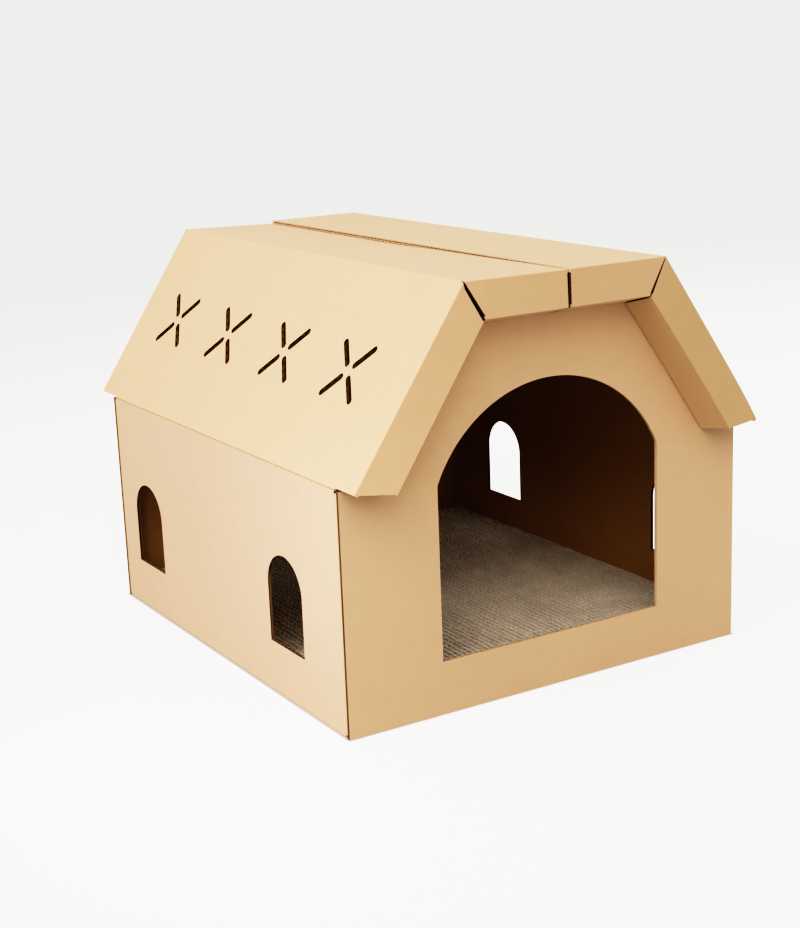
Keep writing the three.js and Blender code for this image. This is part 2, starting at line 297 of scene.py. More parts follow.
def sagged(x, y, z):
    """How far points of the left top panel drop, which is most at the ridge."""
    sag = np.interp(y, SAG_PLACES, SAGS)
    share = np.clip(1 + x / SHOULDER_X, 0, 1)
    return np.where(x < 0, sag * share * smooth(SHOULDER_Z - z, SAG_BOTTOM, SAG_TOP), 0)


def drawn_back(x, over, depth, along):
    """How far the fold of the left half's front rim is drawn back."""
    drawn = np.interp(along, (-1, 0, 1), LEFT_RIM_DRAWN)
    fade = 1 - np.clip(depth / RIM_DEPTH, 0, 1)
    return np.where(x < 0, drawn * over * fade, 0)


def flared(x, y, over, depth, along):
    """How far the right half's front rim spreads: in a bow at its upper edge, which keeps its tip,
    and towards the tip at its lower fold."""
    lower = np.clip(along, 0, 1)
    rim = np.clip((depth - BOARD_DEPTH) / (RIM_DEPTH - BOARD_DEPTH), 0, 1)
    bulge = RIGHT_RIM_FLARE * (lower - lower ** FLARE_POWER)
    splay = RIGHT_SOFFIT_FLARE * (1 - (1 - lower) ** 2)
    return np.where((x > 0) & (y < SOFFIT_END), bulge * over * (1 - rim) + splay * rim, 0)


def bent(points):
    """The places of points of the flat model on the slightly bent board."""
    points = np.array(points, float)
    x, y, z = points.T
    depth, along = roof_place(x, z)
    over = np.clip((BEND_START - y) / (BEND_START - RIM_FRONT), 0, 1)
    moves = (flared(x, y, over, depth, along), drawn_back(x, over, depth, along), -sagged(x, y, z))
    return points + np.column_stack(moves)


# Pieces
def add_object(name, data):
    thing = bpy.data.objects.new(name, data)
    bpy.context.scene.collection.objects.link(thing)
    return thing


class Solid:
    """Closed shapes gathered for one mesh: points, the place of each on its sheet of board, faces,
    and for each face the number of its material."""

    def __init__(self):
        self.points = []
        self.sheet = []
        self.faces = []
        self.shades = []

    def add(self, points, sheet, faces, shades):
        start = len(self.points)
        self.points.extend(points)
        self.sheet.extend(sheet)
        self.faces.extend([[start + i for i in face] for face in faces])
        self.shades.extend(shades)


def add_piece(name, solid, materials):
    """Makes an object of gathered shapes."""
    mesh = bpy.data.meshes.new(name)
    points = [tuple(point) for point in solid.points]
    mesh.from_pydata(points, [], [tuple(int(i) for i in face) for face in solid.faces])
    for material in materials:
        mesh.materials.append(material)
    mesh.polygons.foreach_set("material_index", np.array(solid.shades, np.int32))
    attribute = mesh.attributes.new("sheet", "FLOAT_VECTOR", "POINT")
    attribute.data.foreach_set("vector", np.array(solid.sheet, np.float32).ravel())
    mesh.validate()
    mesh.update()
    return add_object(name, mesh)


# Panels, read from their CAD nodes
def merged_mesh(node):
    """The points and triangles of a CAD node, with split corners joined."""
    mesh = node.data
    mesh.calc_loop_triangles()
    places = {}
    index = []
    for vertex in mesh.vertices:
        key = tuple(round(value, MERGE_DECIMALS) for value in vertex.co)
        index.append(places.setdefault(key, len(places)))
    points = [Vector(key) for key in places]
    triangles = [[index[i] for i in triangle.vertices] for triangle in mesh.loop_triangles]
    return points, triangles


def triangle_turn(points, triangle):
    a, b, c = (points[i] for i in triangle)
    return (b - a).cross(c - a)


def flat_face(points, triangles, normal, offset):
    """The triangles of a mesh that lie in a plane, and their area."""
    near = [abs(normal.dot(point) - offset) < SAME_PLANE for point in points]
    found = [triangle for triangle in triangles if all(near[i] for i in triangle)]
    area = sum(triangle_turn(points, triangle).length / 2 for triangle in found)
    return {"normal": normal, "offset": offset, "triangles": found, "area": area}


def broad_faces(points, triangles):
    """The two broad faces of a panel, which look in opposite directions."""
    turns = sorted(((triangle_turn(points, t), t) for t in triangles), key=lambda pair: -pair[0].length)
    normal = turns[0][0].normalized()
    facing = next(t for turn, t in turns if turn.dot(normal) > 0)
    behind = next(t for turn, t in turns if turn.normalized().dot(normal) < OPPOSITE_WAY)
    return [flat_face(points, triangles, way, way.dot(points[t[0]]))
            for way, t in ((normal, facing), (-normal, behind))]


def boundary_edges(triangles):
    edges = {(t[i], t[(i + 1) % len(t)]) for t in triangles for i in range(len(t))}
    return [(a, b) for a, b in edges if (b, a) not in edges]


def boundary_loops(triangles):
    following = dict(boundary_edges(triangles))
    loops = []
    while following:
        start = next(iter(following))
        loop = [start]
        here = following.pop(start)
        while here != start:
            loop.append(here)
            here = following.pop(here)
        loops.append(loop)
    return loops


def divided(loop, step):
    """A closed outline with extra points along its longer edges."""
    places = []
    for (ax, ay), (bx, by) in zip(loop, loop[1:] + loop[:1]):
        parts = max(1, math.ceil(math.hypot(bx - ax, by - ay) / step))
        places += [(ax + (bx - ax) * i / parts, ay + (by - ay) * i / parts) for i in range(parts)]
    return places


class Panel:
    """A flat panel of board, read from its CAD node."""

    def __init__(self, name, flute_direction):
        self.name = name
        points, triangles = merged_mesh(frame["nodes"][name])
        first, second = broad_faces(points, triangles)
        if abs(first["area"] - second["area"]) < SAME_AREA_SHARE * first["area"]:
            outward = first["normal"].dot(HOUSE_MIDDLE) < first["offset"]
            outer, inner = (first, second) if outward else (second, first)
        else:
            outer, inner = sorted((first, second), key=lambda face: -face["area"])
        self.out = outer["normal"]
        self.thickness = outer["offset"] + inner["offset"]
        self.inner_offset = -inner["offset"]
        self.along = flute_direction - self.out * flute_direction.dot(self.out)
        self.along.normalize()
        self.across = self.out.cross(self.along)
        self.base = self.out * self.inner_offset
        self.loops3 = [[points[i] for i in loop] for loop in boundary_loops(inner["triangles"])]
        self.grid = RIM_GRID if name.endswith(RIM_PARTS) else LINER_GRID
        self.loops = [divided([(p.dot(self.along), p.dot(self.across)) for p in loop], self.grid)
                      for loop in self.loops3]

    def place(self, flat):
        """Places in space of points given along the flutes, across them and up from the inner face."""
        flat = np.array(flat, float)
        axes = np.array([self.along, self.across, self.out])
        return np.array(self.base) + flat @ axes


# Cutting of flat areas
def inside(loops, points):
    """Which of the points lie within an outline and outside its holes."""
    crossings = np.zeros(len(points), int)
    x, y = points[:, 0], points[:, 1]
    for loop in loops:
        for (ax, ay), (bx, by) in zip(loop, loop[1:] + loop[:1]):
            if ay == by:
                continue
            spans = (ay > y) != (by > y)
            crossings += spans & (x < ax + (y - ay) * (bx - ax) / (by - ay))
    return crossings % 2 == 1


def distance_to(loops, points):
    nearest = np.full(len(points), np.inf)
    for loop in loops:
        for a, b in zip(loop, loop[1:] + loop[:1]):
            a, b = np.array(a), np.array(b)
            along = b - a
            length = along @ along
            if length == 0:
                continue
            share = np.clip((points - a) @ along / length, 0, 1)
            nearest = np.minimum(nearest, np.linalg.norm(points - a - share[:, None] * along, axis=1))
    return nearest


def triangulated(loops, lines, spots):
    """The area within the loops cut into triangles, with the lines as edges and the spots as corners."""
    places, edges = [], []
    for loop in loops:
        start = len(places)
        places += loop
        edges += [(start + i, start + (i + 1) % len(loop)) for i in range(len(loop))]
    for line in lines:
        start = len(places)
        places += line
        edges += [(start + i, start + i + 1) for i in range(len(line) - 1)]
    places += spots
    vectors = [Vector(place) for place in places]
    flat, _, triangles, *_ = delaunay_2d_cdt(vectors, edges, [], 0, CUTTING_TOLERANCE, False)
    flat = np.array([tuple(p) for p in flat])
    triangles = np.array([tuple(t) for t in triangles])
    keep = inside(loops, flat[triangles].mean(axis=1))
    return flat, triangles[keep]


def closed_slab(flat, triangles, low, high, shades):
    """A closed solid over flat triangles, from the heights low to high. shades are the materials of
    its upper face, its lower face and its sides."""
    used, triangles = np.unique(triangles, return_inverse=True)
    triangles = triangles.reshape(-1, 3)
    flat = flat[used]
    low = np.broadcast_to(low, len(flat)) if np.isscalar(low) else low[used]
    high = np.broadcast_to(high, len(flat)) if np.isscalar(high) else high[used]
    count = len(flat)
    corners = flat[triangles]
    turn = np.cross(corners[:, 1] - corners[:, 0], corners[:, 2] - corners[:, 0])
    triangles = np.where((turn < 0)[:, None], triangles[:, ::-1], triangles)
    points = np.concatenate([np.column_stack([flat, low]), np.column_stack([flat, high])])
    faces = (triangles + count).tolist() + triangles[:, ::-1].tolist()
    marks = [shades[0]] * len(triangles) + [shades[1]] * len(triangles)
    for a, b in boundary_edges(triangles.tolist()):
        faces.append([a, b, b + count, a + count])
        marks.append(shades[2])
    return points, faces, marks


def grid_lines(loops, step):
    flat = np.array([p for loop in loops for p in loop])
    low, high = flat.min(axis=0), flat.max(axis=0)
    counts = np.maximum(1, np.ceil((high - low) / step)).astype(int)
    return [np.linspace(low[i], high[i], counts[i] + 1)[1:-1] for i in range(2)]


# Boards. The numbers are the places of the papers in a board's list.
OUTER, INNER, CUT, PAINTED_SHADE_CUT = range(4)


def add_liners(solid, panel, liner):
    """The two flat papers of a panel."""
    xs, ys = grid_lines(panel.loops, panel.grid)
    flat, triangles = triangulated(panel.loops, [], [(x, y) for x in xs for y in ys])
    top = panel.thickness
    for low, high, shades in ((0, liner, (CUT, INNER, CUT)), (top - liner, top, (OUTER, CUT, CUT))):
        points, faces, marks = closed_slab(flat, triangles, low, high, shades)
        solid.add(bent(panel.place(points)), points, faces, marks)


def add_flutes(solid, panel, liner):
    """The waved paper between a panel's liners, near its edges and openings."""
    outline = np.array([p for loop in panel.loops for p in loop])
    low, high = outline.min(axis=0), outline.max(axis=0)
    step = FLUTE_PITCH / FLUTE_SAMPLES
    stations = [step * i for i in range(math.ceil(low[1] / step), math.floor(high[1] / step) + 1)]
    count = max(1, math.ceil((high[0] - low[0]) / FLUTE_STEP))
    along = np.linspace(low[0] - step, high[0] + step, count + 1)
    flat, triangles = triangulated(panel.loops, [[(x, y) for x in along] for y in stations], [])
    near = distance_to(panel.loops, flat[triangles].mean(axis=1)) < FLUTE_REACH
    swing = (panel.thickness - 2 * liner - FLUTE_SHEET) / 2
    middle = panel.thickness / 2 + swing * np.sin(flat[:, 1] * TURN / FLUTE_PITCH)
    points, faces, marks = closed_slab(flat, triangles[near], middle - FLUTE_SHEET / 2,
                                       middle + FLUTE_SHEET / 2, (CUT, CUT, CUT))
    solid.add(bent(panel.place(points)), points, faces, marks)


def add_board(panel, materials, liner):
    """A panel as corrugated board: two liners and between them, at its edges, the fluted sheet."""
    solid = Solid()
    add_liners(solid, panel, liner)
    add_flutes(solid, panel, liner)
    piece = add_piece(panel.name + "_board", solid, materials)
    if panel.name in GABLES:
        shade_sides(piece)
    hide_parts(panel.name)
    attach(piece, body_of(panel))


def shade_sides(piece):
    """Darkens the cut edges at a gable's two sides, which stand in the corners of the house: painted
    shade for the gap in each corner.
    """
    for face in piece.data.polygons:
        if face.material_index == CUT and abs(face.center.x) > GABLE_HIGH.x - GABLE_EDGE:
            face.material_index = PAINTED_SHADE_CUT


def body_of(panel):
    return frame["nodes"][panel.name]["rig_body"]


# Creases
class Mitre:
    """The upright plane at a shoulder in which the rims of a slope and a top meet, and how far from it
    a fascia ends."""

    def __init__(self, side, fascia):
        out = 1 if side == "right" else -1
        self.corner = Vector((out * SHOULDER_X, 0, SHOULDER_Z))
        lean = 1 + SLOPE_RUN / SLOPE_LENGTH
        self.normal = Vector((-out * lean, 0, SLOPE_DROP / SLOPE_LENGTH)).normalized()
        self.gap = min((self.distance(p) for loop in fascia.loops3 for p in loop), key=abs)

    def distance(self, point):
        return (point - self.corner).dot(self.normal)

    def depth(self, point):
        """How far a point lies below the corner."""
        return max(0, self.corner.z - point.z)


class Fold:
    """The crease between two panels, a and b, as it is drawn across its direction."""

    def __init__(self, a, b, radius, groove):
        turn = a.out.cross(b.out)
        self.a, self.b = a, b
        self.radius, self.groove = radius, groove
        self.thick = a.thickness
        self.bend = math.atan2(turn.length, a.out.dot(b.out))
        self.direction = turn.normalized()
        self.bisector = (a.out + b.out).normalized()
        self.into_a = a.out.cross(self.direction)
        self.into_b = self.direction.cross(b.out)
        self.across = (self.into_b - self.into_a).normalized()
        self.gap = CREASE_GAP / math.cos(self.bend / 2)
        # a point of the line in which the two inner faces meet
        rows = Matrix((a.out, b.out, self.direction))
        self.start = rows.inverted() @ Vector((a.inner_offset, b.inner_offset, 0))

    def spot(self, station):
        """The place at a station along the crease, in the line in which the two inner faces meet."""
        return self.start + self.direction * station

    def profile(self, depth):
        """The bent line at a depth below the outer faces, from one panel's edge to the other's."""
        centre = self.bisector * ((self.thick - self.radius) / math.cos(self.bend / 2))
        places = [self.into_a * self.gap + self.a.out * (self.thick - depth)]
        for i in range(CREASE_SEGMENTS + 1):
            angle = self.bend * (i / CREASE_SEGMENTS - 1 / 2)
            spoke = self.bisector * math.cos(angle) + self.across * math.sin(angle)
            fall = self.groove * (1 - abs(2 * i / CREASE_SEGMENTS - 1))
            places.append(centre + spoke * (self.radius - depth) - self.bisector * fall)
        places.append(self.into_b * self.gap + self.b.out * (self.thick - depth))
        return places

    def rings(self):
        """The outlines of the outer liner and of the crushed board under it, each with the number of
        its edges that are the outer face."""
        outer = self.profile(0)
        under = self.profile(LINER)
        inner = [self.into_b * self.gap, self.into_a * self.gap]
        return (outer + under[::-1], len(outer) - 1), (under + inner, 0)

    def span(self, panel):
        """How far along the crease a panel's inner edge runs beside it."""
        best = (0, 0)
        for loop in panel.loops3:
            for p, q in zip(loop, loop[1:] + loop[:1]):
                edge = q - p
                if edge.length < SHORT_EDGE or abs(edge.normalized().dot(self.direction)) < SAME_WAY:
                    continue
                away = (p - self.start) - self.direction * (p - self.start).dot(self.direction)
                ends = sorted((place - self.start).dot(self.direction) for place in (p, q))
                if away.length < 2 * panel.thickness and ends[1] - ends[0] > best[1] - best[0]:
                    best = ends
        return best

    def mitred(self, station, place, mitre):
        """How far along the crease a place of the profile reaches to end in a mitre."""
        start = self.start + place
        for _ in range(2):
            depth = mitre.depth(start + self.direction * station)
            open_share = min(1, depth / (MITRE_CLOSING_SHARE * self.thick))
            station = mitre.gap * open_share - mitre.distance(start)
            station /= self.direction.dot(mitre.normal)
        return station


def bar_faces(around, count):
    """The faces of a closed bar through so many rings, each of so many points: its sides, ring by
    ring, and then its two ends."""
    faces = []
    for start in range(0, (count - 1) * around, around):
        for i in range(around):
            j = (i + 1) % around
            faces.append([start + i, start + j, start + around + j, start + around + i])
    last = (count - 1) * around
    return faces + [list(reversed(range(around))), [last + i for i in range(around)]]


def add_crease(name, a, b, materials, groove=0, growth=0, mitre=None, radius=CREASE_RADIUS):
    """The folded strip between two panels: a rounded or grooved liner over the crushed flutes. One end
    of the strip on a rim is cut in the plane of its mitre."""
    fold = Fold(a, b, radius, groove)
    span_a, span_b = fold.span(a), fold.span(b)
    low = max(span_a[0], span_b[0]) - growth
    high = min(span_a[1], span_b[1]) + growth
    if mitre:
        low, high = span_a
    count = max(2, math.ceil((high - low) / min(a.grid, b.grid)) + 1)
    stations = np.linspace(low, high, count)
    ends = (0, count - 1)
    cut_end = None
    if mitre:
        cut_end = min(ends, key=lambda s: abs(mitre.distance(fold.spot(stations[s]))))

    solid = Solid()
    for ring, outer_edges in fold.rings():
        points, sheet = [], []
        for s, station in enumerate(stations):
            for place in ring:
                reach = fold.mitred(station, place, mitre) if s == cut_end else station
                points.append(fold.spot(reach) + place)
                sheet.append((station, place.dot(fold.into_b - fold.into_a), place.dot(fold.bisector)))
        shades = [OUTER if i < outer_edges else CUT for i in range(len(ring))] * (count - 1)
        shades += [CUT if end == cut_end else OUTER for end in ends]
        solid.add(points, sheet, bar_faces(len(ring), count), shades)
    piece = add_piece(name, solid, materials)
    fix_normals(piece)
    if body_of(a) == body_of(b):
        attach(piece, body_of(a))
    else:
        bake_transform(piece)
    bend_piece(piece)


def bend_piece(piece):
    """Moves the points of a flat piece to their places on the bent board."""
    points = bent([vertex.co for vertex in piece.data.vertices])
    piece.data.vertices.foreach_set("co", points.ravel())
    piece.data.update()


def fix_normals(piece):
    work = bmesh.new()
    work.from_mesh(piece.data)
    bmesh.ops.recalc_face_normals(work, faces=work.faces)
    work.to_mesh(piece.data)
    work.free()


# Strips of the scratch pad. The numbers are the places of its papers in their list.
PAD_LINER_SHADE, PAD_FLUTE_SHADE, PAD_BASE_SHADE = range(3)


def add_bar(solid, rings, shade):
    """A closed bar through rings of points."""
    points = [point for ring in rings for point in ring]
    faces = bar_faces(len(rings[0]), len(rings))
    solid.add(points, points, faces, [shade] * len(faces))


def upright(x0, x1, y, low, high):
    """A ring of an upright strip of paper, which runs along the pad."""
    return [(x0, y, high), (x1, y, high), (x1, y, low), (x0, y, low)]


def add_pad(materials):
    """The scratch pad: strips of coarse board on edge, with their cells open at the top. The upper
    edges of the papers are a little ragged."""
    low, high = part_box("scratch_pad")
    rng = np.random.default_rng(PAD_SEED)
    solid = Solid()
    top = high.z
    bed = top - PAD_CELL_DEPTH
    add_bar(solid, [upright(low.x, high.x, y, low.z, bed) for y in (low.y, high.y)], PAD_BASE_SHADE)

    strips = int((high.x - low.x - PAD_EDGE_LINER) / PAD_STRIP_PITCH)
    seams = [(i - strips / 2) * PAD_STRIP_PITCH for i in range(strips + 1)]
    liners = [(x - PAD_LINER / 2, x + PAD_LINER / 2) for x in seams]
    liners[0] = (low.x, liners[0][1])
    liners[-1] = (liners[-1][0], high.x)
    stations = np.linspace(low.y, high.y, int((high.y - low.y) / PAD_LINER_STEP) + 1)
    for x0, x1 in liners:
        drops = rng.uniform(0, PAD_RAGGED, len(stations))
        rings = [upright(x0, x1, y, bed, top - drop) for y, drop in zip(stations, drops)]
        add_bar(solid, rings, PAD_LINER_SHADE)

    count = int((high.y - low.y) / PAD_FLUTE_PITCH * PAD_FLUTE_SAMPLES)
    ys = np.linspace(low.y, high.y, count + 1)
    half = PAD_FLUTE_SHEET / 2
    for (_, x0), (x1, _) in zip(liners, liners[1:]):
        phase = rng.uniform(0, TURN)
        angles = (ys - low.y) * TURN / PAD_FLUTE_PITCH + phase
        xs = (x0 + x1) / 2 + ((x1 - x0) / 2 - half) * np.sin(angles)
        drop_all = rng.uniform(PAD_FLUTE_DROP, PAD_FLUTE_DROP + PAD_RAGGED)
        drops = drop_all + rng.uniform(0, PAD_RAGGED, len(ys))
        rings = [upright(x - half, x + half, y, bed, top - drop) for x, y, drop in zip(xs, ys, drops)]
        add_bar(solid, rings, PAD_FLUTE_SHADE)
    piece = add_piece("scratch_pad_strips", solid, materials)
    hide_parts("scratch_pad")
    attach(piece, "pad")


# Papers
def cleared_tree(owner):
    """The node tree of a new material or world, without the nodes that it starts with."""
    owner.use_nodes = True
    owner.node_tree.nodes.clear()
    return owner.node_tree


def shader_tree(name):
    material = bpy.data.materials.new(name)
    tree = cleared_tree(material)
    output = tree.nodes.new("ShaderNodeOutputMaterial")
    shader = tree.nodes.new("ShaderNodeBsdfPrincipled")
    tree.links.new(shader.outputs["BSDF"], output.inputs["Surface"])
    return material, tree, shader


def noise_of(tree, vector, scale, detail, roughness):
    noise = tree.nodes.new("ShaderNodeTexNoise")
    noise.inputs["Scale"].default_value = scale
    noise.inputs["Detail"].default_value = detail
    noise.inputs["Roughness"].default_value = roughness
    tree.links.new(vector, noise.inputs["Vector"])
    return noise.outputs["Fac"]


def math_of(tree, operation, *values):
    node = tree.nodes.new("ShaderNodeMath")
    node.operation = operation
    for socket, value in zip(node.inputs, values):
        if isinstance(value, (int, float)):
            socket.default_value = value
        else:
            tree.links.new(value, socket)
    return node.outputs["Value"]


def summed(tree, parts):
    """The sum of sockets, each multiplied by its share."""
    (first, share), *rest = parts
    total = math_of(tree, "MULTIPLY", first, share)
    for socket, share in rest:
        total = math_of(tree, "MULTIPLY_ADD", socket, share, total)
    return total


def stretched(tree, vector, scale):
    mapping = tree.nodes.new("ShaderNodeMapping")
    mapping.inputs["Scale"].default_value = scale
    tree.links.new(vector, mapping.inputs["Vector"])
    return mapping.outputs["Vector"]


def ranged(tree, value, low, high):
    """A socket brought from the range between low and high to 0 to 1."""
    node = tree.nodes.new("ShaderNodeMapRange")
    node.inputs["From Min"].default_value = low
    node.inputs["From Max"].default_value = high
    tree.links.new(value, node.inputs["Value"])
    return node


def mixed(tree, factor, a, b):
    node = tree.nodes.new("ShaderNodeMix")
    node.data_type = "RGBA"
    tree.links.new(factor, node.inputs["Factor"])
    for socket, value in ((node.inputs["A"], a), (node.inputs["B"], b)):
        socket.default_value = (*value, 1)
    return node.outputs["Result"]


def roughen(tree, shader, height, strength, depth):
    bump = tree.nodes.new("ShaderNodeBump")
    bump.inputs["Strength"].default_value = strength
    bump.inputs["Distance"].default_value = depth
    tree.links.new(height, bump.inputs["Height"])
    tree.links.new(bump.outputs["Normal"], shader.inputs["Normal"])


def kraft(name, light, dark):
    """Kraft paper: cloudy tone, fine mottling and fibres across the flutes, which show faintly."""
    material, tree, shader = shader_tree(name)
    attribute = tree.nodes.new("ShaderNodeAttribute")
    attribute.attribute_name = "sheet"
    sheet = attribute.outputs["Vector"]
    place = tree.nodes.new("ShaderNodeTexCoord").outputs["Object"]
    clouds = noise_of(tree, place, **CLOUDS)
    mottle = noise_of(tree, place, **MOTTLE)
    fibres = noise_of(tree, stretched(tree, sheet, FIBRE_STRETCH), **FIBRES)
    grain = noise_of(tree, place, **GRAIN)
    tone = summed(tree, ((clouds, CLOUD_SHARE), (mottle, MOTTLE_SHARE), (fibres, FIBRE_SHARE),
                         (grain, GRAIN_SHARE)))
    colour = mixed(tree, ranged(tree, tone, *KRAFT_TONE_SHARES).outputs["Result"], dark, light)
    tree.links.new(colour, shader.inputs["Base Color"])
    shader.inputs["Roughness"].default_value = KRAFT_ROUGHNESS
    shader.inputs["Specular IOR Level"].default_value = KRAFT_SPECULAR
    shader.inputs["Sheen Weight"].default_value = KRAFT_SHEEN
    shader.inputs["Sheen Roughness"].default_value = KRAFT_SHEEN_ROUGHNESS
    parts = tree.nodes.new("ShaderNodeSeparateXYZ")
    tree.links.new(sheet, parts.inputs["Vector"])
    wave = math_of(tree, "SINE", math_of(tree, "MULTIPLY", parts.outputs["Y"], TURN / FLUTE_PITCH))
    height = summed(tree, ((wave, WASHBOARD_SHARE), (fibres, FIBRE_BUMP_SHARE), (mottle, MOTTLE_BUMP_SHARE)))
    roughen(tree, shader, height, KRAFT_BUMP, KRAFT_BUMP_DEPTH)
    return material


def raw_paper(name, light, dark, scale):
    """Cut or bare corrugating paper: fibrous and without any sheen."""
    material, tree, shader = shader_tree(name)
    place = tree.nodes.new("ShaderNodeTexCoord").outputs["Object"]
    fine = noise_of(tree, place, scale, **PAPER_FINE)
    coarse = noise_of(tree, place, scale / PAPER_COARSE_RATIO, **PAPER_COARSE)
    tone = summed(tree, ((fine, PAPER_FINE_SHARE), (coarse, 1 - PAPER_FINE_SHARE)))
    colour = mixed(tree, ranged(tree, tone, *PAPER_TONE_SHARES).outputs["Result"], dark, light)
    tree.links.new(colour, shader.inputs["Base Color"])
    shader.inputs["Roughness"].default_value = PAPER_ROUGHNESS
    shader.inputs["Specular IOR Level"].default_value = PAPER_SPECULAR
    roughen(tree, shader, fine, PAPER_BUMP, PAPER_BUMP_DEPTH)
    return material


# Floor, lamps and camera
def lit_by_paths(tree, seen, lights, output_kind):
    """Ends a tree in one shader for what the camera sees and another for what lights the house."""
    path = tree.nodes.new("ShaderNodeLightPath")
    mix = tree.nodes.new("ShaderNodeMixShader")
    tree.links.new(path.outputs["Is Camera Ray"], mix.inputs["Fac"])
    tree.links.new(lights, mix.inputs[1])
    tree.links.new(seen, mix.inputs[2])
    output = tree.nodes.new(output_kind)
    tree.links.new(mix.outputs["Shader"], output.inputs["Surface"])


def painted_contact_shade_of(tree, place):
    """The share of the floor's brightening that is left near the foot of the walls, and 1 beyond: the
    painted line of shade round the house.
    """
    steps = (("ABSOLUTE", None), ("SUBTRACT", FOOT), ("MAXIMUM", (0, 0, 0)), ("LENGTH", None))
    for operation, value in steps:
        node = tree.nodes.new("ShaderNodeVectorMath")
        node.operation = operation
        tree.links.new(place, node.inputs[0])
        if value is not None:
            node.inputs[1].default_value = value
        place = node.outputs[0]
    share = ranged(tree, node.outputs["Value"], 0, CONTACT_REACH)
    share.interpolation_type = "SMOOTHSTEP"
    share.inputs["To Min"].default_value = CONTACT_SHARE
    return share.outputs["Result"]


def glow_of(tree, place, strength):
    """The floor's painted light: a glow which is strongest round one place."""
    away = tree.nodes.new("ShaderNodeVectorMath")
    away.operation = "DISTANCE"
    away.inputs[1].default_value = FLOOR_GLOW_MIDDLE
    tree.links.new(place, away.inputs[0])
    fall = ranged(tree, away.outputs["Value"], *FLOOR_GLOW_REACH)
    fall.interpolation_type = "SMOOTHSTEP"
    glow = tree.nodes.new("ShaderNodeEmission")
    tree.links.new(mixed(tree, fall.outputs["Result"], FLOOR_GLOW_NEAR, FLOOR_GLOW), glow.inputs["Color"])
    tree.links.new(strength, glow.inputs["Strength"])
    return glow.outputs["Emission"]


def floor_material():
    """Matt white. As in the studio's print it is brightened where the camera sees it, by a glow of
    painted light that keeps its shadows faint and a painted line of shade at the foot of the walls,
    while the light that it throws on the house is that of a pale grey table."""
    material = bpy.data.materials.new("studio_white")
    tree = cleared_tree(material)
    table = tree.nodes.new("ShaderNodeBsdfDiffuse")
    table.inputs["Color"].default_value = (*FLOOR_BOUNCE, 1)
    place = tree.nodes.new("ShaderNodeTexCoord").outputs["Object"]
    painted_contact_shade = painted_contact_shade_of(tree, place)
    seen = tree.nodes.new("ShaderNodeBsdfDiffuse")
    tree.links.new(mixed(tree, painted_contact_shade, FLOOR_CONTACT, FLOOR_TONE), seen.inputs["Color"])
    bright = tree.nodes.new("ShaderNodeAddShader")
    tree.links.new(seen.outputs["BSDF"], bright.inputs[0])
    tree.links.new(glow_of(tree, place, painted_contact_shade), bright.inputs[1])
    lit_by_paths(tree, bright.outputs["Shader"], table.outputs["BSDF"], "ShaderNodeOutputMaterial")
    return material


def add_floor():
    size = FLOOR_HALF_SIZE
    solid = Solid()
    corners = [(-size, -size, 0), (size, -size, 0), (size, size, 0), (-size, size, 0)]
    solid.add(corners, corners, [[0, 1, 2, 3]], [0])
    add_piece("studio_floor", solid, [floor_material()])


def way_to(azimuth, elevation):
    """The direction of a lamp or the camera as it is seen from the house."""
    flat = math.cos(elevation)
    return Vector((math.sin(azimuth) * flat, -math.cos(azimuth) * flat, math.sin(elevation)))


def add_sun(name, azimuth, elevation, spread, strength, colour):
    data = bpy.data.lights.new(name, "SUN")
    data.energy = strength
    data.angle = spread * DEG
    data.color = colour
    towards = way_to(azimuth * DEG, elevation * DEG)
    add_object(name, data).matrix_world = towards.to_track_quat("Z", "Y").to_matrix().to_4x4()


def add_softbox(name, place, target, size, power, colour):
    """A square lamp, which the camera doesn't see."""
    data = bpy.data.lights.new(name, "AREA")
    data.energy = power
    data.size = size * MM
    data.color = colour
    place, target = Vector(place) * MM, Vector(target) * MM
    turn = (place - target).to_track_quat("Z", "Y").to_matrix().to_4x4()
    lamp = add_object(name, data)
    lamp.matrix_world = Matrix.Translation(place) @ turn
    lamp.visible_camera = False


def add_world():
    world = bpy.data.worlds.new("studio")
    tree = cleared_tree(world)
    seen = tree.nodes.new("ShaderNodeBackground")
    seen.inputs["Color"].default_value = (*BACKDROP_TONE, 1)
    lights = tree.nodes.new("ShaderNodeBackground")
    lights.inputs["Color"].default_value = (*WORLD_TINT, 1)
    lights.inputs["Strength"].default_value = WORLD_STRENGTH
    lit_by_paths(tree, seen.outputs["Background"], lights.outputs["Background"], "ShaderNodeOutputWorld")
    bpy.context.scene.world = world


def grade_view():
    """The print's contrast: an S curve that deepens the shades and lets the highlights run to white."""
    view = bpy.context.scene.view_settings
    view.view_transform = "Standard"
    view.use_curve_mapping = True
    grade = view.curve_mapping
    grade.white_level = (GRADE_RANGE, GRADE_RANGE, GRADE_RANGE)

    def graded(light):
        return light ** GRADE_CONTRAST / (light ** GRADE_CONTRAST + GRADE_MIDDLE ** GRADE_CONTRAST)

    for share in GRADE_SHARES:
        grade.curves[GRADE_CURVE].points.new(share, graded(share * GRADE_RANGE) / graded(GRADE_RANGE))
    grade.update()


def add_camera():
    data = bpy.data.cameras.new("photo_camera")
    data.lens = CAMERA_LENS_MM
    data.sensor_width = CAMERA_SENSOR_MM
    back = way_to(CAMERA_AZIMUTH, CAMERA_ELEVATION)
    right = Vector((math.cos(CAMERA_AZIMUTH), math.sin(CAMERA_AZIMUTH), 0))
    turn = Matrix((right, back.cross(right), back)).transposed().to_4x4()
    camera = add_object("photo_camera", data)
    camera.matrix_world = Matrix.Translation(CAMERA_PLACE) @ turn @ Matrix.Rotation(CAMERA_ROLL, 4, "Z")
    bpy.context.scene.camera = camera


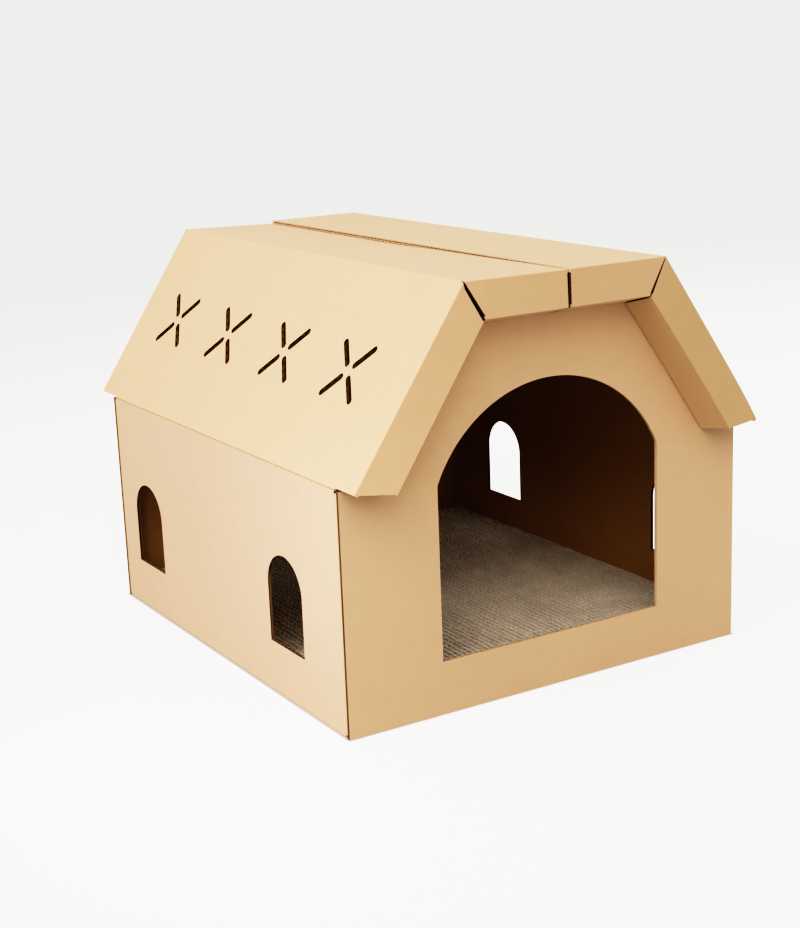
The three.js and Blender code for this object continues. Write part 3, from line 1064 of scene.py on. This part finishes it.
def add_studio():
    add_camera()
    add_world()
    add_floor()
    add_softbox("key_light", **KEY_LIGHT)
    add_sun("front_light", **FRONT_LIGHT)
    add_sun("left_light", **LEFT_LIGHT)
    add_softbox("corner_light", **CORNER_LIGHT)
    grade_view()


# House
def flutes_of(name, panels):
    """The way of a panel's flutes. Gables and end flaps stand on them, and in the side sheets they
    run round the house, on into the rims."""
    if name in GABLES or name.endswith("_end_flap"):
        return UP
    if name.endswith(RIM_PARTS):
        side, _, part, _ = name.split("_")
        return panels[f"{side}_{part}_panel"].along
    return Panel(name, UP + RIGHT).out.cross(DEEP)


def read_panels():
    """The panels by name, the rims after the panels that they fold from."""
    names = [name for name in frame["nodes"] if name != "scratch_pad"]
    names.sort(key=lambda name: name.endswith(RIM_PARTS))
    panels = {}
    for name in names:
        panels[name] = Panel(name, flutes_of(name, panels))
    return panels


def board_materials():
    """The papers of each kind of panel: its outer face, its inner face and its cut edges, and for a
    gable also the darker cut edges at its sides, painted shade.
    """
    paper = {name: kraft(name, *tones) for name, tones in KRAFT_TONES.items()}
    paper |= {name: raw_paper(name, *tones, CUT_PAPER_SCALE) for name, tones in CUT_PAPER_TONES.items()}
    inner, cut, painted_light_cut = paper["kraft_inner"], paper["cut_paper"], paper["cut_paper_light"]
    return {
        "plain": [paper["kraft_outer"], inner, cut],
        # the tops' and the gables' cut edges take the lighter cut paper, painted light
        "top": [paper["kraft_outer"], inner, painted_light_cut],
        "wall": [paper["kraft_walls"], inner, cut],
        "gable": [paper["kraft_gables"], inner, painted_light_cut, cut],
        "right_rim": [paper["kraft_right_rim"], inner, cut],
    }


def kind_of(name):
    """Which papers a panel is made of."""
    if name.endswith("top_panel"):
        return "top"
    if name in GABLES:
        return "gable"
    if name.endswith("_wall"):
        return "wall"
    # the right slope's fascias and soffits take the darker kraft, painted shade
    if name.startswith("right_") and name.endswith(("slope_fascia", "slope_soffit")):
        return "right_rim"
    return "plain"


def add_rim_creases(side, end, part, panels, materials):
    """The two creases of a folded rim, from the roof to the fascia and on to the soffit."""
    fascia = panels[f"{side}_{end}_{part}_fascia"]
    soffit = panels[f"{side}_{end}_{part}_soffit"]
    folds = {"fascia": (panels[f"{side}_{part}_panel"], fascia), "soffit": (fascia, soffit)}
    for name, (a, b) in folds.items():
        add_crease(f"{side}_{end}_{part}_{name}_crease", a, b, materials[kind_of(fascia.name)],
                   mitre=Mitre(side, fascia), radius=RIM_CREASE_RADIUS)


def add_creases(side, panels, materials):
    """All creases of one side sheet."""
    wall, floor = panels[f"{side}_wall"], panels[f"{side}_floor"]
    slope, top = panels[f"{side}_slope_panel"], panels[f"{side}_top_panel"]
    plain = materials["plain"]
    add_crease(f"{side}_floor_crease", wall, floor, plain)
    add_crease(f"{side}_eave_crease", wall, slope, plain, groove=GROOVE_DEPTH)
    add_crease(f"{side}_shoulder_crease", slope, top, plain)
    for end in ("front", "back"):
        add_crease(f"{side}_{end}_corner_crease", wall, panels[f"{side}_{end}_end_flap"], plain,
                   growth=CORNER_GROWTH)
        for part in ("slope", "top"):
            add_rim_creases(side, end, part, panels, materials)


def add_house():
    materials = board_materials()
    panels = read_panels()
    for name, panel in panels.items():
        kind = kind_of(name)
        add_board(panel, materials[kind], PRESSED_LINER if kind == "top" else LINER)
    for side in ("left", "right"):
        add_creases(side, panels, materials)
    add_pad([raw_paper(name, *tones, PAD_PAPER_SCALE) for name, tones in PAD_PAPER_TONES.items()])


add_studio()
add_house()
